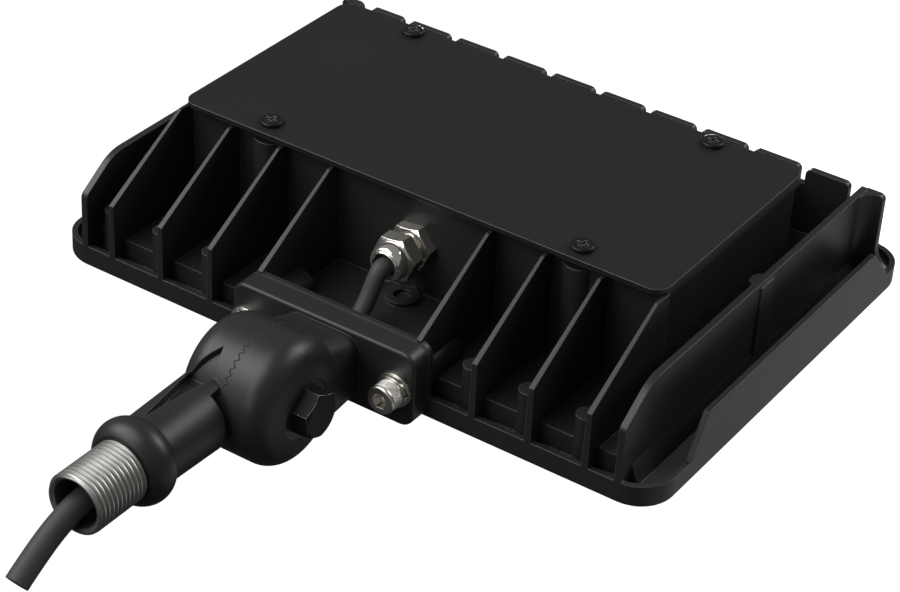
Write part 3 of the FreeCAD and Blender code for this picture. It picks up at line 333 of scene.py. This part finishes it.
def skin(name, shells, finish, sharp):
    places, faces, first = [], [], 0
    for grid in shells:
        rows, columns = grid.shape[:2]
        at = np.arange(rows * columns).reshape(rows, columns) + first
        faces.append(np.stack([at[:-1, :-1], at[:-1, 1:], at[1:, 1:], at[1:, :-1]], -1).reshape(-1, 4))
        places.append(grid.reshape(-1, 3))
        first += rows * columns
    mesh = bpy.data.meshes.new(name)
    mesh.from_pydata(np.vstack(places), [], np.vstack(faces))
    work = bmesh.new()
    work.from_mesh(mesh)
    bmesh.ops.remove_doubles(work, verts=work.verts, dist=mergeGap)
    bmesh.ops.recalc_face_normals(work, faces=work.faces)
    work.to_mesh(mesh)
    work.free()
    mesh.shade_smooth()
    mesh.set_sharp_from_angle(angle=math.radians(sharp))
    mesh.materials.append(finishes[finish])
    piece = bpy.data.objects.new(name, mesh)
    scene.collection.objects.link(piece)
    return piece


def onceRound(columns):
    return np.linspace(0, 2 * np.pi, columns + 1)


def hexagonAt(turn, flats, twist=0.0):
    # a hexagon's radius: half its width over the cosine of the angle from the middle of the nearest side
    side = (turn - math.radians(twist)) % (np.pi / 3) - np.pi / 6
    return flats / 2 / np.cos(side)


def aroundY(radius, along, turn, centre):
    # points at a radius about a line parallel to Y
    ring = np.stack([radius * np.cos(turn), along * np.ones_like(turn), radius * np.sin(turn)], -1)
    return ring + np.array(centre)


def turned(profile, turn, centre):
    # a profile of radius and way along, each radius one value or one for every step of the turn
    return np.concatenate([aroundY(r * np.ones_like(turn), y, turn, centre)[None] for r, y in profile])


# pipe thread: the radius is a clipped triangle wave of the way along plus the share of a turn, so that the
# crest winds round once per pitch; the mouth's bevels, the bore and the plain root then close the skin
threadSet = {"pitch": 0.0254 / 14,  # 14 turns to the inch
             "depth": 0.0009, "land": 0.25, "bevel": 0.0008, "bore": 0.0082, "root": 0.0092, "rows": 16,
             "columns": 160, "sharp": 35.0}


def pipeThread(s):
    low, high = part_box("threaded_nipple")
    crest, mouth = (high.x - low.x) / 2, low.y
    turn = onceRound(s["columns"])
    lead = s["pitch"] * turn / (2 * np.pi)
    start = np.arange(0, -mouth + 2 * s["pitch"], s["pitch"] / s["rows"]) - s["pitch"]
    along = np.clip(lead[None, :] - start[:, None], mouth, 0)
    phase = (lead[None, :] - along) / s["pitch"] % 1
    wave = np.clip((1 - np.abs(2 * phase - 1)) / (1 - s["land"]), 0, 1)
    radius = np.minimum(crest - s["depth"] * (1 - wave), crest - s["bevel"] + along - mouth)
    grid = aroundY(radius, along, turn[None, :] * np.ones_like(along), (0, 0, 0))
    ends = [(s["bore"] + s["bevel"], mouth), (s["bore"], mouth + s["bevel"]), (s["bore"], high.y),
            (s["root"], high.y), (s["root"], 0)]
    shell = np.concatenate([grid, turned(ends, turn, (0, 0, 0)), grid[:1]])
    return skin("pipeThread", [shell], "threadMetal", s["sharp"])


thread = pipeThread(threadSet)
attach(thread, "arm")
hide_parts("threaded_nipple")
print("thread cut")


# cap screws: a turned head with a six-sided socket; the knurl stands out by the root of the product of two
# waves that wind opposite ways
capSet = {"head": 0.005, "height": 0.006, "shank": 0.003, "tip": 0.00255, "tipBevel": 0.0005, "edge": 0.0009,
          "bends": 6, "seat": 0.00485, "seatBevel": 0.00015, "knurls": 56, "depth": 0.0003, "slope": 190.0,
          "band": (0.0012, 0.0052), "rows": 52, "columns": 448, "flats": 0.005, "socket": 0.0036,
          "drillPoint": 0.0009, "land": 1.04, "sharp": 40.0}


def knurl(s, turn):
    swing = s["knurls"] * turn / 2
    rows = []
    for y in np.linspace(s["band"][1], s["band"][0], s["rows"]):
        twist = s["knurls"] * s["slope"] * y / 2
        stand = np.sqrt(np.abs(np.sin(swing + twist) * np.sin(swing - twist)))
        rows.append((s["head"] - s["depth"] * (1 - stand), y))
    return rows


def capScrews(s):
    low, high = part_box("flange_bolts")
    middle, end = (low.z + high.z) / 2, high.y - low.y
    turn = onceRound(s["columns"])
    hexagon = hexagonAt(turn, s["flats"])
    corner = s["flats"] / np.sqrt(3) * s["land"]
    profile = [(0.0, end), (s["tip"], end), (s["shank"], end - s["tipBevel"]), (s["shank"], s["height"]),
               (s["seat"], s["height"]), (s["head"], s["height"] - s["seatBevel"]), (s["head"], s["band"][1])]
    profile += knurl(s, turn) + [(s["head"], s["band"][0])]
    profile += [(s["head"] - s["edge"] * (1 - np.cos(bend)), s["edge"] * (1 - np.sin(bend)))
                for bend in np.linspace(0, np.pi / 2, s["bends"])]
    profile += [(corner, 0.0), (hexagon, 0.0), (hexagon, s["socket"]), (0.0, s["socket"] + s["drillPoint"])]
    shells = [turned(profile, turn, (x, low.y, middle)) for x in (low.x + s["head"], high.x - s["head"])]
    return skin("capScrews", shells, "stainless", s["sharp"])


screws = capScrews(capSet)
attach(screws, "head")
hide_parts("flange_bolts")
print("cap screws turned")


# gland nut: the dome swells from its mouth as a quarter ellipse; behind it each radius is the smaller of a
# hexagon and a cone, which rounds off the six near corners
glandSet = {"flats": 0.015, "twist": 8.0, "dome": 0.005, "mouth": 0.0053, "lip": 0.0004, "bore": 0.0033,
            "flare": 0.0045, "shoulder": 0.0069, "face": 0.0073, "slope": 1.7, "cut": 0.0009,
            "inside": 0.0057, "rows": 14, "columns": 240, "sharp": 24.0}


def glandNut(s):
    low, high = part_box("gland_nut")
    centre = ((low.x + high.x) / 2, low.y, (low.z + high.z) / 2)
    back = high.y - low.y
    turn = onceRound(s["columns"])
    hexagon = hexagonAt(turn, s["flats"], s["twist"])
    profile = [(s["inside"], back), (s["inside"], s["dome"]), (s["bore"], s["dome"]), (s["flare"], 0.0),
               (s["mouth"] - s["lip"], 0.0)]
    for bend in np.linspace(0, np.pi / 2, s["rows"]):
        profile.append((s["mouth"] + (s["shoulder"] - s["mouth"]) * np.sin(bend),
                        s["lip"] + (s["dome"] - s["lip"]) * (1 - np.cos(bend))))
    for y in np.linspace(0, s["cut"], s["rows"]):
        profile.append((np.minimum(hexagon, s["face"] + s["slope"] * y), s["dome"] + y))
    profile += [(hexagon, back), (s["inside"], back)]
    return skin("glandNut", [turned(profile, turn, centre)], "nickelPlate", s["sharp"])


nut = glandNut(glandSet)
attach(nut, "head")
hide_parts("gland_nut")
print("gland nut turned")


# supply cord: one smooth line through the route, out of the thread and down
cordSet = {"radius": 0.0039, "length": 0.0477, "sides": 7, "steps": 20, "order": 3,
           "route": [(-0.0009, 0.0004, -0.0003), (-0.0015, -0.0105, -0.0011), (-0.0020, -0.0213, -0.0033),
                     (-0.0026, -0.0330, -0.0089), (-0.0029, -0.0435, -0.0162)]}


def cableCurve(name, s):
    curve = bpy.data.curves.new(name, "CURVE")
    curve.dimensions = "3D"
    curve.bevel_depth = s["radius"]
    curve.bevel_resolution = s["sides"]
    curve.resolution_u = s["steps"]
    curve.use_fill_caps = True
    spline = curve.splines.new("NURBS")
    spline.points.add(len(s["route"]) - 1)
    for point, place in zip(spline.points, s["route"]):
        point.co = (*place, 1.0)
    spline.order_u = s["order"]
    spline.use_endpoint_u = True
    curve.materials.append(finishes["cableJacket"])
    piece = bpy.data.objects.new(name, curve)
    scene.collection.objects.link(piece)
    return piece


supplyCord = cableCurve("supplyCord", cordSet)
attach(supplyCord, "arm")
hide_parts("supply_cord")
print("supply cord laid")


# held cables: from the driver through the gland and down behind the pad, and on from the cord inside the arm
glandCableSet = {"radius": 0.003, "sides": 7, "steps": 16, "order": 3,
                 "route": [(0.0077, 0.1591, 0.0132), (0.0077, 0.1235, 0.0132), (0.0077, 0.1196, 0.0132),
                           (0.0069, 0.1153, 0.0040), (0.0067, 0.1085, -0.0027), (0.0093, 0.0990, -0.0041),
                           (0.0093, 0.0827, -0.0039)]}
armCableSet = {"radius": 0.0039, "sides": 7, "steps": 8, "order": 3,
               "route": [(-0.0009, 0.0004, -0.0003), (-0.0002, 0.0133, 0.0006), (0.0005, 0.0263, 0.0016)]}
for name, s, body, node in (("glandCable", glandCableSet, "head", "driver_lead"),
                            ("armCable", armCableSet, "arm", "supply_lead")):
    held = cableCurve(name, s)
    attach(held, body)
    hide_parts(node)
print("held cables laid")


# studio: a floor below the reach of the head when it hangs straight down, a dim room and soft boxes; the floor
# is white to the camera, but in the reflections it is dark in front and paler behind; the dark front is a
# painted shadow
floorSet = {"near": (0.015, 0.015, 0.015), "far": (0.44, 0.44, 0.44), "fade": (0.16, 0.38),
            "lean": (0.8, 0.6, 0.0), "glow": 1.0, "roughness": 0.9, "size": 4.0, "drop": 0.23}
roomSet = {"dim": (0.2, 0.2, 0.2), "pale": (1.0, 1.0, 1.0)}
lampAim = (0, 0.1, 0)
lampSet = [{"name": "overheadBox", "place": (-0.5, -0.52, 1.1), "size": 1.2, "power": 18.5},
           {"name": "frontBox", "place": (-0.25, -1.5, 0.55), "size": 0.7, "power": 4.0},
           {"name": "leftBox", "place": (-0.55, -0.1, 0.5), "size": 0.4, "power": 2.2},
           {"name": "backRightBox", "place": (0.75, 1.25, 1.0), "size": 0.8, "power": 14.0},
           {"name": "lowBackBox", "place": (-0.5, 1.3, -0.1), "size": 0.24, "power": 8.0}]


def floorPaper(s):
    # the tone fades from near to far along the way that it leans; the nearly black near tone is a painted
    # shadow for the reflections and bounce light
    material, tree, surface = newMaterial("floorPaper", Roughness=s["roughness"], Emission_Color=(1, 1, 1, 1))
    fade = newNode(tree, "ShaderNodeMapRange", interpolation_type="SMOOTHSTEP")
    fade.inputs["From Min"].default_value, fade.inputs["From Max"].default_value = s["fade"]
    tree.links.new(dotNode(tree, objectPlace(tree), s["lean"]), fade.inputs["Value"])
    # the near tone is a painted shadow on the floor, the far tone the floor's plain paleness
    tree.links.new(mixColour(tree, fade.outputs["Result"], s["near"], s["far"]), surface["Base Color"])
    seen = newNode(tree, "ShaderNodeLightPath").outputs["Is Camera Ray"]
    tree.links.new(mathNode(tree, "MULTIPLY", seen, s["glow"]), surface["Emission Strength"])
    return material


def addFloor(s):
    low, half = -s["drop"], s["size"] / 2
    mesh = bpy.data.meshes.new("studioFloor")
    mesh.from_pydata([(-half, -half, low), (half, -half, low), (half, half, low), (-half, half, low)], [],
                     [(0, 1, 2, 3)])
    mesh.materials.append(floorPaper(s))
    floor = bpy.data.objects.new("studioFloor", mesh)
    scene.collection.objects.link(floor)
    return floor


def addLamp(s):
    data = bpy.data.lights.new(s["name"], "AREA")
    data.shape = "SQUARE"
    data.size = s["size"]
    data.energy = s["power"]
    lightBox = bpy.data.objects.new(s["name"], data)
    scene.collection.objects.link(lightBox)
    lightBox.location = s["place"]
    lightBox.rotation_mode = "QUATERNION"
    lightBox.rotation_quaternion = facing(s["place"], lampAim)


def addRoom(s):
    world = bpy.data.worlds.new("studioRoom")
    world.use_nodes = True
    scene.world = world
    tree = world.node_tree
    seen = newNode(tree, "ShaderNodeLightPath").outputs["Is Camera Ray"]
    tree.links.new(mixColour(tree, seen, s["dim"], s["pale"]), tree.nodes["Background"].inputs["Color"])


floor = addFloor(floorSet)
for lamp in lampSet:
    addLamp(lamp)
addRoom(roomSet)
print("studio lit")
